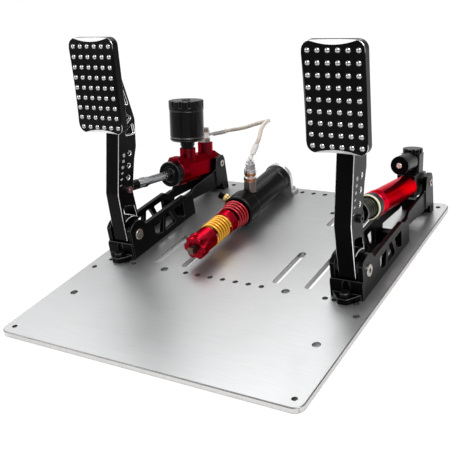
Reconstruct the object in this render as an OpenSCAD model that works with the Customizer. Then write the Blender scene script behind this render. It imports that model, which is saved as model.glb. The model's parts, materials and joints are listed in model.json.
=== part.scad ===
// Racing pedal set: a brake with hydraulic cylinders and a throttle with a damper on one base plate.
// Millimetres. X runs to the right, Y away from the driver, Z up.
// The origin is the bottom centre of the base plate. Inside each module y is counted from the
// plate's front edge and z from its top face.

/* [Display] */
// Sub-part to draw, or all of them

/* [Base plate] */
// Width of the plate
plate_w = 433; // [425:1:470]
// Depth of the plate, front to back
plate_d = 501; // [499:1:540]
// Thickness of the plate
plate_t = 8; // [8:0.5:12]
// Radius of the plate's corners
plate_corner_r = 12; // [6:1:18]
// Broken edge all round the plate
plate_edge = 0.8; // [0.4:0.1:1.4]
// Diameter of the four corner mounting holes
corner_hole_d = 6.5; // [5:0.1:8.4]
// Width of the slots for the pedal modules
slot_w = 10; // [8:0.5:12]
// Length of the slots for the pedal modules
slot_len = 87; // [70:1:95]

/* [Pedal modules] */
// Distance between the middles of the two pedals
pedal_spacing = 353.6; // [350:0.2:372]
// Outside width of one module
module_w = 44; // [42:0.5:48]
// Thickness of its side walls
wall_t = 6.5; // [5:0.1:7]
// Width of the pedal arms
arm_w = 22.8; // [20:0.2:23.4]
// Lean of the brake arm at rest, positive away from the driver
brake_lean = 0; // [-1:0.5:1]
// Lean of the throttle arm at rest
throttle_lean = -2.5; // [-3:0.5:0]

/* [Pads] */
// Width of the foot pads
pad_w = 76; // [70:1:84]
// Height of the foot pads
pad_h = 128.8; // [126:0.2:136]
// Thickness at the middle of the pad
pad_t = 14; // [13:0.5:18]
// Radius of the front face's crown
pad_crown_r = 600; // [420:20:900]
// Diameter of the grip studs
stud_d = 6.5; // [5:0.1:7.5]
// How far the studs stand out of the pad
stud_proud = 2; // [1:0.1:2.4]

/* [Hydraulics] */
// Radius of the fluid reservoir
reservoir_r = 27; // [24:0.5:28]
// Radius of the load cylinder's body
slave_r = 21.5; // [20:0.5:23]
// Height of the load cylinder's axis above the plate
slave_z = 28; // [27:0.5:34]
// Diameter of the brake hose
hose_d = 6.2; // [5:0.1:7]

/* [Damper] */
// Outside radius of the damper tube
damper_r = 16; // [15:0.1:16.5]
// Radius of the piggyback canister
canister_r = 12.8; // [11:0.2:14]

/* [Clearances] */
// Radial gap between a shaft and its bore
run_gap = 0.05; // [0.02:0.01:0.1]
// Gap between pieces that move past each other
free_gap = 0.3; // [0.3:0.05:0.5]

/* [Hidden] */
$fn = 64;
eps = 0.01;

black = "#232326";
steel = "silver";
grey = "dimgray";
red = "#b0121f";
cream = "#e9e3bd";

pedal_x = pedal_spacing / 2;
half_w = module_w / 2;
wall_in = half_w - wall_t;
arm_half = arm_w / 2;

// Pedal pivot, rear pin and the linkage hole in use, in (y, z)
pivot = [232, 32.4];
pin = [468.4, 47.5];
link_hole = [240.5, 98.7];
arm_holes = [[246, 115], [252, 131], [259, 147]];
arm_hole_r = 3.25;

pivot_r = 5;
hub_r = 15.5;
ear_r = 21;
pin_r = 4;
shank_r = 3.2;
spacer_r = 9;

// Pad seat on the arm, lower and upper end, in (y, z)
seat_low = [234.5, 190];
seat_high = [248.5, 307];
seat_dir = (seat_high - seat_low) / norm(seat_high - seat_low);
pad_lean = atan2(seat_dir[0], seat_dir[1]);
pad_up = 62;
pad_corner_r = 11;
stud_cols = 6;
stud_rows = 9;
stud_pitch_x = 12.2;
stud_pitch_z = 13.65;
stud_drop = 1.3;

// Ball joint of the linkage
ball_r = 7;
ball_half = 5;
housing_r = 9.9;
housing_half = 4.4;
cavity_r = ball_r + 0.8;
arm_slot_half = 6;

// Stations along the linkage axis, counted from the rear pin
brake_end_back = 200;
brake_nut_back = 174;
rod_r = 6.25;
rod_tip_r = 4;
end_neck_r = 7.5;
tip_len = 12;
cap_back = 106;
cap_front = 118;
cap_r = 19.75;
flange_back = 88;
flange_r = 21;
boss_r = 12.6;
master_bore_r = 9;
master_bore_back = 12;
supply_port = 66;
outlet_port = 15;
outlet_top = 36;
boss_top = 34;
reservoir_low = 46;
reservoir_high = 110;
reservoir_split = 94;

banjo_mid = 48;
banjo_t = 8.6;
washer_t = 1.2;
fitting_r = 3.9;

damper_block_front = 42;
damper_lip_back = 150;
damper_lip_r = 17;
damper_collar_back = 166;
damper_collar_r = 16.8;
damper_cup_floor = 170;
damper_cup_r = 13.9;
damper_ring_back = 178;
damper_ring_front = 181.5;
damper_ring_r = 16.5;
damper_shoulder_r = 15.1;
damper_seat_back = 209;
damper_seat_t = 3.5;
damper_seat_r = 14.5;
damper_bore_r = 12.5;
damper_rod_r = 5;
canister_up = 34.5;
canister_front = 71;
block_up = 44.3;
block_half = 13;
knob_at = 17.5;
damper_knob_r = 14;
damper_knob_t = 6.3;
canister_back = knob_at + damper_knob_r + free_gap;

// Load cylinder: x of its axis, y stations from the plate's front edge, roll about its axis
slave_x = -54;
slave_roll = 9;
slave_rod_r = 5;
slave_stub_front = 214;
slave_knob_front = 224;
slave_knob_back = 240;
slave_knob_r = 17.6;
slave_seat_back = 261;
slave_seat_r = 16;
slave_divider_front = 300;
slave_divider_back = 316;
slave_collar_front = 344;
slave_collar_back = 371;
slave_back = 472;
slave_bracket_t = 7;
slave_bracket_r = 23.5;
slave_collar_r = 24.5;
slave_port = 380.5;
slave_bore_r = 16;
slave_band_r = 17;
port_seat = slave_r - 2.3;

// Points of the hose from the banjo to the load cylinder, in plate coordinates from its middle
banjo_reach = [37.3, 6.7, 6.4];
sleeve_top = [-36, 392, 118.5];
hose_mid = [[-103.5, 470.5, 112], [-76.5, 467, 121.5], [-53.5, 457, 130], [-42, 445, 136],
    [-37.5, 429, 139.5], [-36, 413, 136.5]];
hose_sides = 10;
hose_steps = 4;

function unit(v) = v / norm(v);

// Point p on the arm, swung about the pivot by a degrees away from the driver
function swung(p, a) = [
    pivot[0] + (p[0] - pivot[0]) * cos(a) + (p[1] - pivot[1]) * sin(a),
    pivot[1] - (p[0] - pivot[0]) * sin(a) + (p[1] - pivot[1]) * cos(a)
];
function link_len(lean) = norm(swung(link_hole, lean) - pin);
function link_slope(lean) =
    let (e = swung(link_hole, lean)) atan2(e[1] - pin[1], pin[0] - e[0]);

// Outline with rounded corners. Each point is [a, b, radius]
function corner(a, b, c, r, n) =
    let (
        u = unit(a - b),
        v = unit(c - b),
        h = acos(u * v) / 2,
        m = b + unit(u + v) * r / sin(h),
        s = b + u * r / tan(h) - m,
        e = b + v * r / tan(h) - m,
        a0 = atan2(s[1], s[0]),
        d = atan2(s[0] * e[1] - s[1] * e[0], s * e)
    )
    [for (k = [0:n]) m + r * [cos(a0 + d * k / n), sin(a0 + d * k / n)]];
function rounded(p, n = 4) = [
    for (i = [0:len(p) - 1])
        let (
            a = p[(i + len(p) - 1) % len(p)],
            b = p[i],
            c = p[(i + 1) % len(p)]
        )
        each b[2] == 0 ? [[b[0], b[1]]]
            : corner([a[0], a[1]], [b[0], b[1]], [c[0], c[1]], b[2], n)
];

// Smooth curve through the points p, with steps pieces between two of them
function spline_at(a, b, c, d, t) =
    0.5 * (2 * b + (c - a) * t + (2 * a - 5 * b + 4 * c - d) * t * t
        + (3 * b - a - 3 * c + d) * t * t * t);
function smooth(p, steps) = [
    for (i = [0:len(p) - 2])
        let (a = p[max(i - 1, 0)], d = p[min(i + 2, len(p) - 1)])
        for (k = [0:steps - 1])
            spline_at(a, p[i], p[i + 1], d, k / steps),
    p[len(p) - 1]
];

// Places and shapes used by several sub-parts

module from_front() translate([0, -plate_d / 2, plate_t]) children();

module at_pedal(side) from_front() translate([side * pedal_x, 0, 0]) children();

// A (y, z) outline made w thick, centred on the pedal
module across(w) rotate([90, 0, 90]) translate([0, 0, -w / 2]) linear_extrude(w) children();

module arm_pose(lean)
    translate([0, pivot[0], pivot[1]])
        rotate([-lean, 0, 0])
            translate([0, -pivot[0], -pivot[1]])
                children();

// Linkage frame: z from the rear pin to the arm's linkage hole, y upward square to it
module on_link(lean)
    translate([0, pin[0], pin[1]])
        rotate([90 - link_slope(lean), 0, 0])
            children();

// Cylinder across the pedal through the (y, z) point p
module cross_bore(p, r, w = 80)
    translate([-w / 2, p[0], p[1]]) rotate([0, 90, 0]) cylinder(h = w, r = r);

module ring(r_out, r_in, h)
    difference() {
        cylinder(h = h, r = r_out);
        translate([0, 0, -1]) cylinder(h = h + 2, r = r_in);
    }

// Disc with both rims broken by e
module soft_disc(r, h, e) {
    cylinder(h = e, r1 = r - e, r2 = r);
    translate([0, 0, e]) cylinder(h = h - 2 * e, r = r);
    translate([0, 0, h - e]) cylinder(h = e, r1 = r, r2 = r - e);
}

module hexagon(across_flats, h) cylinder(h = h, r = across_flats / 2 / cos(30), $fn = 6);

module between(p, q, r)
    translate(p)
        rotate([0, acos((q - p)[2] / norm(q - p)), atan2((q - p)[1], (q - p)[0])])
            cylinder(h = norm(q - p), r = r);

// Base plate

module slab_edge(w) polygon([
    [0, 0], [w - plate_edge, 0], [w, plate_edge], [w, plate_t - plate_edge],
    [w - plate_edge, plate_t], [0, plate_t]
]);

module slab() {
    flat_x = plate_w / 2 - plate_corner_r;
    flat_y = plate_d / 2 - plate_corner_r;
    for (s = [0, 1]) mirror([s, 0, 0])
        translate([0, flat_y, 0]) rotate([90, 0, 0])
            linear_extrude(2 * flat_y) slab_edge(plate_w / 2);
    for (s = [0, 1]) mirror([0, s, 0])
        translate([-flat_x, 0, 0]) rotate([90, 0, 90])
            linear_extrude(2 * flat_x) slab_edge(plate_d / 2);
    for (x = [-flat_x, flat_x], y = [-flat_y, flat_y])
        translate([x, y, 0]) rotate_extrude() slab_edge(plate_corner_r);
}

corner_hole_x = plate_w / 2 - 13.7;
corner_hole_in = 14.5;
front_slot_y = 216.5;
rear_slot_y = 387;
slot_x = [72.5, 119.5];
spare_hole_r = 3.5;

// Through hole at (x, y from the front edge)
module plate_hole(x, y, r)
    translate([x, y - plate_d / 2, -1]) cylinder(h = plate_t + 2, r = r);

module plate_slot(x, y) {
    plate_hole(x, y + slot_w / 2, slot_w / 2);
    plate_hole(x, y + slot_len - slot_w / 2, slot_w / 2);
    translate([x - slot_w / 2, y + slot_w / 2 - plate_d / 2, -1])
        cube([slot_w, slot_len - slot_w, plate_t + 2]);
}

module base_plate()
    color(steel) difference() {
        slab();
        for (x = [-corner_hole_x, corner_hole_x], y = [corner_hole_in, plate_d - corner_hole_in])
            plate_hole(x, y, corner_hole_d / 2);
        for (s = [-1, 1]) {
            for (x = slot_x) {
                plate_slot(s * x, front_slot_y);
                plate_slot(s * x, rear_slot_y);
            }
            plate_hole(s * 183, 109.5, 5);
            plate_hole(s * 203, 177.6, 3.7);
            for (x = [192, 163, 150.6]) plate_hole(s * x, 203.5, spare_hole_r);
            plate_hole(s * 95.6, 202.7, 5.25);
            plate_hole(s * 60, 429, spare_hole_r);
            plate_hole(s * 150, 487.5, spare_hole_r);
        }
        for (i = [-3:3]) plate_hole(i * 20, 203.5, spare_hole_r);
        for (i = [-1:3]) plate_hole(i * 20, 487.5, spare_hole_r);
        for (s = [-1, 1]) plate_hole(s * pedal_x, foot_bolt_y, foot_bolt_r + run_gap);
        for (s = [-1, 1])
            plate_hole(slave_x + s * bracket_bolt_x, bracket_bolt_y, bracket_bolt_r + run_gap);
    }

// Side walls of a module

module wall_outline() {
    difference() {
        union() {
            polygon(rounded([
                [215, 0, 0], [375, 0, 0], [375, 22, 2], [384, 21, 4], [440, 14, 6], [452, 15, 3],
                [464, 15, 5], [466, 0, 0], [479, 0, 0], [479, 52, 4], [475.5, 60.5, 4], [455, 60.5, 6],
                [448, 41, 5], [384, 40, 3], [377, 35.5, 3], [360, 35.5, 4], [352, 40.5, 4],
                [250, 40.5, 3], [244, 48, 0], [215, 44.7, 0]
            ]));
            intersection() {
                translate(pivot) circle(r = ear_r);
                translate([215, 0]) square([60, 60]);
            }
        }
        polygon(rounded([[269, 30, 1.5], [294, 30, 1.5], [286, 8.5, 1.5], [273, 12.5, 2], [269, 17, 2]]));
        polygon(rounded([[301, 32.5, 1.5], [311, 32.5, 1.5], [322, 10, 1.5], [293, 8, 1.5]]));
        polygon(rounded([[321, 31, 1.5], [347, 31, 1.5], [346, 7, 2], [328, 14, 2]]));
    }
}

beam_recess = 2;

// Right-hand wall, its outer face at half_w. The left one is its mirror image
module wall()
    difference() {
        translate([half_w - wall_t / 2, 0, 0]) across(wall_t) wall_outline();
        translate([half_w - beam_recess, 375, -1]) cube([beam_recess + 1, 73, 60]);
        cross_bore(pivot, pivot_r + run_gap);
        cross_bore(pin, pin_r + run_gap);
    }

// Foot block: bolted flange, upright in front of the walls and a tongue between them
foot_bolt_y = 205.6;
foot_bolt_r = 4;
foot_flange_t = 8;
foot_top = 25;

module foot_block()
    difference() {
        union() {
            linear_extrude(foot_flange_t)
                polygon(rounded([
                    [-half_w, 215, 0], [-20, 212.5, 3], [-9.5, 199.5, 5], [-6, 195.5, 3],
                    [6, 195.5, 3], [9.5, 199.5, 5], [20, 212.5, 3], [half_w, 215, 0]
                ]));
            across(module_w)
                polygon([[211, 0], [215, 0], [215, foot_top], [213, foot_top], [211, foot_top - 4]]);
            across(2 * wall_in)
                polygon(rounded([[214, 0, 0], [262, 0, 0], [262, 9, 3], [250, 12, 3], [214, 12, 0]]));
        }
        translate([0, foot_bolt_y, -1]) cylinder(h = 40, r = foot_bolt_r + run_gap);
        translate([0, foot_bolt_y, foot_flange_t]) cylinder(h = 40, r = 7.5);
    }

module brake_wall_left() color(black) at_pedal(-1) mirror([1, 0, 0]) wall();
module brake_wall_right() color(black) at_pedal(-1) wall();
module brake_foot_block() color(black) at_pedal(-1) foot_block();
module throttle_wall_left() color(black) at_pedal(1) mirror([1, 0, 0]) wall();
module throttle_wall_right() color(black) at_pedal(1) wall();
module throttle_foot_block() color(black) at_pedal(1) foot_block();

// Blocks that tie the two walls of a module together
tie_at = [358, 466.5];
tie_size = [2 * wall_in, 12, 18];
module tie_blocks()
    color(black)
        for (s = [-1, 1], y = tie_at)
            at_pedal(s) translate([-wall_in, y, 0]) cube(tie_size);

// Cap screw with a hexagon socket, its seat at z = 0
module cap_screw(r, head_r, head_h, len)
    difference() {
        union() {
            translate([0, 0, -len]) cylinder(h = len + eps, r = r);
            cylinder(h = head_h - 0.8, r = head_r);
            translate([0, 0, head_h - 0.8]) cylinder(h = 0.8, r1 = head_r, r2 = head_r - 0.8);
        }
        translate([0, 0, head_h / 2]) hexagon(head_r, head_h);
    }

// Pin through both walls with a socket head at each end
module wall_pin(p, r, head_r, head_h)
    difference() {
        union() {
            cross_bore(p, r, module_w + 2 * head_h - 0.2);
            for (s = [0, 1]) mirror([s, 0, 0])
                translate([half_w, p[0], p[1]]) rotate([0, 90, 0]) {
                    cylinder(h = head_h - 0.6, r = head_r);
                    translate([0, 0, head_h - 0.6]) cylinder(h = 0.6, r1 = head_r, r2 = head_r - 0.6);
                }
        }
        for (s = [0, 1]) mirror([s, 0, 0])
            translate([half_w - 4 + head_h, p[0], p[1]]) rotate([0, 90, 0]) hexagon(r * 1.15, 10);
    }

pivot_head_r = 8;
pivot_head_t = 1.8;
pin_head_r = 5.5;
pin_head_t = 1.5;

module pivot_bolts()
    color(steel) for (s = [-1, 1]) at_pedal(s) wall_pin(pivot, pivot_r, pivot_head_r, pivot_head_t);

module rear_pins()
    color(steel) for (s = [-1, 1]) at_pedal(s) wall_pin(pin, pin_r, pin_head_r, pin_head_t);

// Sleeves that centre the arms between their walls
module pivot_spacers()
    color(grey)
        for (side = [-1, 1], s = [0, 1])
            at_pedal(side) mirror([s, 0, 0])
                translate([arm_half + free_gap, pivot[0], pivot[1]]) rotate([0, 90, 0])
                    ring(spacer_r, pivot_r + run_gap, wall_in - arm_half - free_gap);

module foot_bolts()
    color(grey)
        for (s = [-1, 1])
            at_pedal(s) translate([0, foot_bolt_y, foot_flange_t]) cap_screw(foot_bolt_r, 6.5, 5, 15);

// Pedal arm

module arm_outline()
    polygon(rounded([
        [222, 19.5, 0], [216, 27, 2], [216, 60, 0], [217.5, 100, 12], [246, 187, 4],
        [seat_low[0], seat_low[1], 0], [seat_high[0], seat_high[1], 0],
        [268.5, 306, 5], [269, 282, 10], [281, 212, 0], [284.5, 190, 12], [276, 151, 14],
        [267, 135, 0], [256, 108, 0], [250, 93, 10], [251, 62, 8], [249.5, 46, 0],
        [245, 30, 0], [232, 20, 0]
    ]));

module arm_window()
    difference() {
        polygon(rounded([[221.5, 80, 4], [245.5, 71, 3], [248, 50, 0], [221.5, 50, 0]]));
        translate(pivot) circle(r = 26);
    }

module arm_pockets() {
    polygon(rounded([[277, 210, 2], [270.5, 240, 0], [264.5, 284, 3], [256, 292, 3], [251.5, 233, 3]]));
    polygon(rounded([[278, 193.5, 2], [251, 218, 3], [249.5, 183, 3]]));
    polygon(rounded([[278, 186, 2], [279, 169, 3], [254, 174.5, 2]]));
}

module rod_slot() polygon([[228, 84], [262, 84], [290, 160], [247, 160], [229.5, 104]]);

pocket_deep = 3.5;

module arm(lean) arm_pose(lean)
    difference() {
        union() {
            across(arm_w) arm_outline();
            cross_bore(pivot, hub_r, arm_w);
        }
        across(arm_w + 2) arm_window();
        for (s = [-1, 1])
            translate([s * arm_half, 0, 0]) across(2 * pocket_deep) arm_pockets();
        across(2 * arm_slot_half) rod_slot();
        cross_bore(pivot, pivot_r + run_gap);
        cross_bore(link_hole, arm_hole_r);
        for (p = arm_holes) cross_bore(p, arm_hole_r);
    }

module brake_arm() color(black) at_pedal(-1) arm(brake_lean);
module throttle_arm() color(black) at_pedal(1) arm(throttle_lean);

// Bolt across the arm: socket head on the right, nut on the left
module linkage_bolt(lean) arm_pose(lean)
    difference() {
        union() {
            cross_bore(link_hole, shank_r, arm_w + 8);
            translate([arm_half, link_hole[0], link_hole[1]]) rotate([0, 90, 0]) cylinder(h = 4.5, r = 5.2);
            translate([-arm_half - 4.2, link_hole[0], link_hole[1]]) rotate([0, 90, 0]) hexagon(10, 4.2);
        }
        translate([arm_half + 1.5, link_hole[0], link_hole[1]]) rotate([0, 90, 0]) hexagon(5, 10);
    }

module ball(lean) arm_pose(lean)
    difference() {
        union() {
            intersection() {
                translate([0, link_hole[0], link_hole[1]]) rotate([0, 90, 0]) sphere(r = ball_r);
                cross_bore(link_hole, ball_r + 1, 2 * ball_half);
            }
            cross_bore(link_hole, 4.6, 2 * arm_slot_half);
        }
        cross_bore(link_hole, shank_r + run_gap);
    }

module brake_linkage_bolt() color(steel) at_pedal(-1) linkage_bolt(brake_lean);
module throttle_linkage_bolt() color(steel) at_pedal(1) linkage_bolt(throttle_lean);
module brake_ball() color(steel) at_pedal(-1) ball(brake_lean);
module throttle_ball() color(steel) at_pedal(1) ball(throttle_lean);

// Foot pad: crowned front, edges scooped between the corners, and the grip studs

module pad_pose(lean) arm_pose(lean)
    translate([0, seat_low[0] + pad_up * seat_dir[0], seat_low[1] + pad_up * seat_dir[1]])
        rotate([-pad_lean, 0, 0])
            children();

module round_plate(w, h, r) {
    square([w - 2 * r, h], center = true);
    square([w, h - 2 * r], center = true);
    for (x = [-1, 1], y = [-1, 1])
        translate([x * (w / 2 - r), y * (h / 2 - r)]) circle(r = r);
}

end_scoop = 3.2;
end_scoop_r = 140;
side_scoop = 2.6;
side_scoop_r = 1300;

function crown(z) = pad_crown_r - sqrt(pad_crown_r * pad_crown_r - z * z);

module stud_places()
    for (i = [0:stud_cols - 1], k = [0:stud_rows - 1])
        let (z = (k - (stud_rows - 1) / 2) * stud_pitch_z - stud_drop)
            translate([(i - (stud_cols - 1) / 2) * stud_pitch_x, crown(z) - pad_t, z])
                rotate([90 - asin(z / pad_crown_r), 0, 0])
                    children();

stud_hole_r = 2.5;
stud_deep = 4;

module pad(lean) pad_pose(lean)
    difference() {
        intersection() {
            rotate([90, 0, 0]) linear_extrude(pad_t + 1) round_plate(pad_w, pad_h, pad_corner_r);
            translate([-pad_w, pad_crown_r - pad_t, 0]) rotate([0, 90, 0])
                cylinder(h = 2 * pad_w, r = pad_crown_r, $fn = 360);
        }
        for (s = [0, 1]) mirror([0, 0, s])
            translate([0, crown(pad_h / 2) - pad_t, pad_h / 2])
                rotate([45, 0, 0])
                    translate([0, -200, end_scoop_r - end_scoop])
                        rotate([-90, 0, 0]) cylinder(h = 400, r = end_scoop_r, $fn = 180);
        for (s = [0, 1]) mirror([s, 0, 0])
            translate([pad_w / 2, -pad_t, 0])
                rotate([0, 0, -45])
                    translate([side_scoop_r - side_scoop, 200, 0])
                        rotate([90, 0, 0]) cylinder(h = 400, r = side_scoop_r, $fn = 720);
        stud_places()
            translate([0, 0, -stud_deep]) cylinder(h = stud_deep + 2, r = stud_hole_r + run_gap, $fn = 24);
    }

module studs(lean) {
    dome_r = (stud_d * stud_d / 4 + stud_proud * stud_proud) / 2 / stud_proud;
    pad_pose(lean)
        stud_places() {
            translate([0, 0, 0.3 - stud_deep]) cylinder(h = stud_deep, r = stud_hole_r, $fn = 24);
            intersection() {
                translate([0, 0, stud_proud - dome_r]) sphere(r = dome_r, $fn = 32);
                translate([0, 0, 0.02]) cylinder(h = stud_proud + 1, r = stud_d, $fn = 32);
            }
        }
}

module brake_pad() color(black) at_pedal(-1) pad(brake_lean);
module throttle_pad() color(black) at_pedal(1) pad(throttle_lean);
module brake_pad_studs() color(steel) at_pedal(-1) studs(brake_lean);
module throttle_pad_studs() color(steel) at_pedal(1) studs(throttle_lean);

// Rod end round the ball, with its shank towards the rear down to station back
module rod_end(lean, back, neck_r) on_link(lean) {
    far = link_len(lean);
    difference() {
        union() {
            translate([-housing_half, 0, far]) rotate([0, 90, 0])
                cylinder(h = 2 * housing_half, r = housing_r);
            translate([0, 0, far - 17]) cylinder(h = 9.5, r = 5.4);
            translate([0, 0, back]) cylinder(h = far - 16.9 - back, r = neck_r);
        }
        translate([0, 0, far]) rotate([0, 90, 0]) sphere(r = cavity_r);
        translate([0, 0, back - 1]) cylinder(h = 14, r = rod_tip_r + run_gap);
    }
}

// Brake push rod, nut and piston

module brake_rod_end() color(black) at_pedal(-1) rod_end(brake_lean, brake_end_back, end_neck_r);

module brake_jam_nut()
    color(steel) at_pedal(-1) on_link(brake_lean) translate([0, 0, brake_nut_back])
        difference() {
            union() {
                cylinder(h = 4, r = 6.8);
                translate([0, 0, 4]) hexagon(14, 9);
                translate([0, 0, 13])
                    cylinder(h = brake_end_back - brake_nut_back - 13, r = end_neck_r);
            }
            translate([0, 0, brake_end_back - brake_nut_back - 9])
                ring(end_neck_r + 1, end_neck_r - 0.7, 1.5);
            translate([0, 0, -1]) cylinder(h = 40, r = rod_tip_r + run_gap);
        }

flute_count = 8;
flute_len = 44;
piston_front = flange_back - 2;
piston_len = 16;

module brake_push_rod()
    color(steel) at_pedal(-1) on_link(brake_lean)
        difference() {
            union() {
                translate([0, 0, piston_front]) cylinder(h = brake_nut_back - piston_front, r = rod_r);
                translate([0, 0, brake_nut_back - eps])
                    cylinder(h = brake_end_back + tip_len - brake_nut_back, r = rod_tip_r);
            }
            for (i = [0:flute_count - 1])
                rotate([0, 0, i * 360 / flute_count])
                    translate([rod_r + 0.5, 0, brake_nut_back - flute_len])
                        cylinder(h = flute_len - 6, r = 1.3, $fn = 16);
        }

module master_piston()
    color(grey) at_pedal(-1) on_link(brake_lean) translate([0, 0, piston_front - piston_len])
        difference() {
            cylinder(h = piston_len, r = master_bore_r - run_gap);
            translate([0, 0, 5]) ring(master_bore_r + 1, master_bore_r - 1.6, 2.6);
        }

// Master cylinder

module master_cap()
    color(black) at_pedal(-1) on_link(brake_lean) translate([0, 0, cap_back])
        difference() {
            soft_disc(cap_r, cap_front - cap_back, 0.8);
            translate([0, 0, -1]) cylinder(h = 40, r = rod_r + run_gap);
            translate([0, 0, cap_front - cap_back - 1.5]) ring(12, 9, 5);
        }

master_half = 15;

module master_section(top, top_half)
    polygon([
        [master_half, -11], [master_half, 11], [top_half, top], [-top_half, top],
        [-master_half, 11], [-master_half, -11], [-8, -18], [8, -18]
    ]);

bolt_len = 28;

module master_body()
    color(red) at_pedal(-1) on_link(brake_lean)
        difference() {
            union() {
                intersection() {
                    translate([0, 0, -12]) linear_extrude(flange_back + 12) master_section(20.5, 8);
                    rotate([0, -90, 0]) linear_extrude(60, center = true)
                        polygon([[-12, -8], [-12, 10], [0, 21], [100, 21], [100, -20], [4, -20]]);
                }
                translate([0, 0, flange_back]) linear_extrude(cap_back - flange_back) master_section(24, 8);
                translate([0, 0, flange_back - 0.5]) soft_disc(flange_r, cap_back - flange_back + 0.5, 1);
                translate([0, 10, supply_port]) rotate([-90, 0, 0]) cylinder(h = boss_top - 10, r = boss_r);
                translate([0, 10, outlet_port]) rotate([-90, 0, 0])
                    cylinder(h = outlet_top - 10, r = boss_r, $fn = 8);
            }
            translate([0, 0, master_bore_back]) cylinder(h = 100, r = master_bore_r);
            cross_bore([0, 0], pin_r + run_gap);
            translate([0, 0, supply_port]) rotate([-90, 0, 0]) cylinder(h = 60, r = 2.5);
            translate([0, 0, outlet_port]) rotate([-90, 0, 0]) cylinder(h = 60, r = 2);
            translate([0, bolt_seat - bolt_len - free_gap, outlet_port])
                rotate([-90, 0, 0]) cylinder(h = 60, r = fitting_r + run_gap);
        }

// Outlet stack, upward along the port: hexagon, washer, banjo, washer, bolt head
module up_outlet(t) on_link(brake_lean) translate([0, t, outlet_port]) rotate([-90, 0, 0]) children();

hex_top = banjo_mid - banjo_t / 2 - washer_t;
bolt_seat = banjo_mid + banjo_t / 2 + washer_t;
washer_r = 7.2;

module master_adapter()
    color(steel) at_pedal(-1) up_outlet(outlet_top)
        difference() {
            hexagon(17, hex_top - outlet_top);
            translate([0, 0, -1]) cylinder(h = 20, r = fitting_r + run_gap);
        }

module banjo_washers()
    color("peru") at_pedal(-1)
        for (t = [hex_top, banjo_mid + banjo_t / 2])
            up_outlet(t) ring(washer_r, fitting_r + run_gap, washer_t);

module banjo_bolt()
    color(steel) at_pedal(-1) up_outlet(bolt_seat)
        difference() {
            union() {
                hexagon(13, 6);
                cylinder(h = 1.2, r = 8);
                translate([0, 0, -bolt_len]) cylinder(h = bolt_len + eps, r = fitting_r);
            }
            translate([0, 0, -bolt_len - 1]) cylinder(h = bolt_len - 4, r = 1.5);
        }

// Middle of the banjo, and where its crimped tail ends
banjo_eye = [-pedal_x,
    pin[0] - outlet_port * cos(link_slope(brake_lean)) + banjo_mid * sin(link_slope(brake_lean)),
    pin[1] + outlet_port * sin(link_slope(brake_lean)) + banjo_mid * cos(link_slope(brake_lean))];
banjo_exit = banjo_eye + banjo_reach;
crimp_r = hose_d / 2 + 1.4;
crimp_len = 23;
nipple_r = 2.7;

module brake_banjo()
    color(steel) {
        at_pedal(-1) up_outlet(banjo_mid - banjo_t / 2) ring(8.5, fitting_r + run_gap, banjo_t);
        from_front() {
            between(banjo_eye + 7.5 * hose_out, banjo_exit - (crimp_len - 1) * hose_out, nipple_r);
            between(banjo_exit - crimp_len * hose_out, banjo_exit, crimp_r);
        }
    }

// Reservoir, upward from the supply port
module up_supply(t) on_link(brake_lean) translate([0, t, supply_port]) rotate([-90, 0, 0]) children();

neck_r = 11.4;
lid_r = reservoir_r + 0.6;
lid_boss_r = 7;
reservoir_wall = 3;

module reservoir_neck()
    color(black) at_pedal(-1) up_supply(boss_top)
        difference() {
            union() {
                cylinder(h = reservoir_low - boss_top, r = neck_r - 1.2);
                translate([0, 0, 4]) soft_disc(neck_r, reservoir_low - boss_top - 4, 0.6);
            }
            translate([0, 0, -1]) cylinder(h = 30, r = 2.5);
        }

module reservoir_body()
    color(black) at_pedal(-1) up_supply(reservoir_low)
        difference() {
            union() {
                cylinder(h = 2.2, r1 = reservoir_r - 2.2, r2 = reservoir_r);
                translate([0, 0, 2.2]) cylinder(h = reservoir_split - reservoir_low - 2.2, r = reservoir_r);
            }
            translate([0, 0, 6]) ring(reservoir_r + 1, reservoir_r - 0.8, 1.4);
            translate([0, 0, 4]) cylinder(h = 90, r = reservoir_r - reservoir_wall);
            translate([0, 0, -1]) cylinder(h = 20, r = 2.5);
        }

cap_grip = 12;

module reservoir_cap() {
    tall = reservoir_high - reservoir_split - free_gap;
    color(black) at_pedal(-1) up_supply(reservoir_split + free_gap)
        difference() {
            union() {
                soft_disc(lid_r, tall, 1);
                translate([0, 0, tall - eps]) soft_disc(lid_boss_r, 1.5, 0.5);
                translate([0, 0, -4]) cylinder(h = 4 + eps, r = reservoir_r - reservoir_wall - free_gap);
            }
            for (i = [0:cap_grip - 1])
                rotate([0, 0, (i + 0.5) * 360 / cap_grip])
                    translate([lid_r + 0.7, 0, 5]) cylinder(h = 40, r = 2.4, $fn = 24);
            translate([0, 0, -5]) cylinder(h = 12, r = reservoir_r - 2 * reservoir_wall);
        }
}

// Brake hose

// Height of the top of the port's nut over the load cylinder's surface
port_top = 51;
foot_ball_r = 3.6;

module hose_sleeve()
    color(steel) from_front() {
        between(sleeve_foot + 1.2 * hose_in, sleeve_foot + 9 * hose_in, nipple_r);
        between(sleeve_foot + 8 * hose_in, sleeve_top, crimp_r);
        translate(sleeve_foot + 1.2 * hose_in) sphere(r = foot_ball_r);
    }

hose_out = unit(banjo_reach);
sleeve_foot = port_point(port_top);
hose_in = unit(sleeve_top - sleeve_foot);
hose_points = concat(
    [banjo_exit + eps * hose_out, banjo_exit + hose_d * hose_out, banjo_exit + 2 * hose_d * hose_out],
    hose_mid,
    [sleeve_top + 1.5 * hose_d * hose_in, sleeve_top + hose_d * hose_in, sleeve_top + eps * hose_in]
);
hose_line = smooth(hose_points, hose_steps);
hose_side = [0.3, 0.75, -0.6];

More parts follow.
